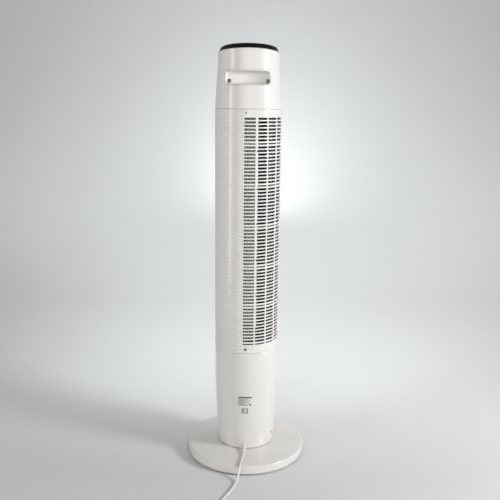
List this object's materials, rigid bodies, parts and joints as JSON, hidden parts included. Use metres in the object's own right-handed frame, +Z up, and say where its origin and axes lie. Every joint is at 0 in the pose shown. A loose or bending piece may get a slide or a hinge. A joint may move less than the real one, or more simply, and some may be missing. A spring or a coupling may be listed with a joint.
{
  "type": "tower fan",
  "caption": "Tower fan: oscillating round column with slotted rear intake, slatted front outlet, cross-flow impeller, recessed rear grip and push buttons on a slanted top, on a round base",
  "frame": {"origin": "centre of the base's footprint, on the floor the feet stand on", "axes": "+Z up along the column; -Y towards the front outlet; +Y towards the rear, with the intake slots and the grip; +X to the left of someone who looks at the rear"},
  "size_m": [0.2946, 0.5316, 1.0035],
  "materials": {
    "white_plastic": "moulded, light gloss",
    "pale_plastic": "moulded, satin",
    "grey_plastic": "moulded, matte",
    "black_gloss": "piano black",
    "smoked_lens": "smoked acrylic, polished",
    "black_plastic": "fine texture",
    "foot_rubber": "pale, matte",
    "dark_rubber": "matte",
    "steel": "zinc plated sheet",
    "dark_screw": "blackened",
    "cast_iron": "painted",
    "laminated_steel": "stacked laminations",
    "acetal": "natural acetal",
    "bronze": "sintered",
    "circuit_board": "solder mask",
    "white_cord": "soft PVC, pale",
    "nickel": "nickel plated"
  },
  "bodies": {
    "base": {"base_cover": "white_plastic", "base_plate": "grey_plastic", "ballast_plate": "cast_iron", "foot_1": "foot_rubber", "foot_2": "foot_rubber", "foot_3": "foot_rubber", "foot_4": "foot_rubber", "neck_spigot": "grey_plastic", "thrust_washer": "acetal", "retaining_ring": "steel", "sector_gear": "acetal", "cord_lead": "white_cord", "cord_coil": "white_cord", "cord_tail": "white_cord", "plug": "white_cord", "plug_pin_1": "nickel", "plug_pin_2": "nickel"},
    "column": {"air_chamber_floor": "white_plastic", "air_scroll": "pale_plastic", "air_tongue": "pale_plastic", "bearing_bush": "bronze", "bearing_cushion": "dark_rubber", "column_floor": "grey_plastic", "control_board": "circuit_board", "control_panel": "black_gloss", "cover_screw_lower": "dark_screw", "cover_screw_upper": "dark_screw", "display_lens": "smoked_lens", "front_grille": "white_plastic", "handle_pocket": "white_plastic", "handle_screw_left": "dark_screw", "handle_screw_right": "dark_screw", "head_shell_front": "white_plastic", "head_shell_rear": "white_plastic", "lower_screw_left": "dark_screw", "lower_screw_right": "dark_screw", "lower_shell_front": "white_plastic", "lower_shell_rear": "white_plastic", "motor_bracket_lower": "steel", "motor_bracket_upper": "steel", "motor_capacitor": "black_plastic", "motor_mount_plate": "steel", "osc_motor": "steel", "osc_motor_plate": "steel", "power_board": "circuit_board", "rear_cover": "white_plastic", "stator_core": "laminated_steel", "strain_relief": "white_cord", "top_bezel": "black_gloss", "top_bracket": "steel"},
    "impeller": {"impeller": "pale_plastic", "impeller_lower_disc": "pale_plastic", "impeller_upper_disc": "pale_plastic", "impeller_hub": "dark_rubber", "motor_rotor": "steel"},
    "pinion": {"osc_pinion": "acetal"},
    "button_1": {"button_1": "black_plastic"},
    "button_2": {"button_2": "black_plastic"},
    "button_3": {"button_3": "black_plastic"},
    "button_4": {"button_4": "black_plastic"}
  },
  "joints": [
    {"name": "oscillation", "type": "hinge", "parent": "base", "child": "column", "pos_m": [0, 0, 0.0308], "axis": [0, 0, 1], "range_deg": [-35, 35]},
    {"name": "impeller_spin", "type": "hinge", "parent": "column", "child": "impeller", "pos_m": [0.021, -0.006, 0.57], "axis": [0, 0, 1], "continuous": true},
    {"name": "pinion_spin", "type": "hinge", "parent": "column", "child": "pinion", "pos_m": [0, -0.045, 0.042], "axis": [0, 0, 1], "range_deg": [-106, 106]},
    {"name": "press_1", "type": "slide", "parent": "column", "child": "button_1", "axis": [0, 0.1132, -0.9936], "range_m": [0, 0.0009], "stiffness_N_per_m": 350},
    {"name": "press_2", "type": "slide", "parent": "column", "child": "button_2", "axis": [0, 0.1132, -0.9936], "range_m": [0, 0.0009], "stiffness_N_per_m": 350},
    {"name": "press_3", "type": "slide", "parent": "column", "child": "button_3", "axis": [0, 0.1132, -0.9936], "range_m": [0, 0.0009], "stiffness_N_per_m": 350},
    {"name": "press_4", "type": "slide", "parent": "column", "child": "button_4", "axis": [0, 0.1132, -0.9936], "range_m": [0, 0.0009], "stiffness_N_per_m": 350}
  ],
  "couplings": [
    {"joint": "pinion_spin", "follows": "oscillation", "ratio": 3}
  ]
}
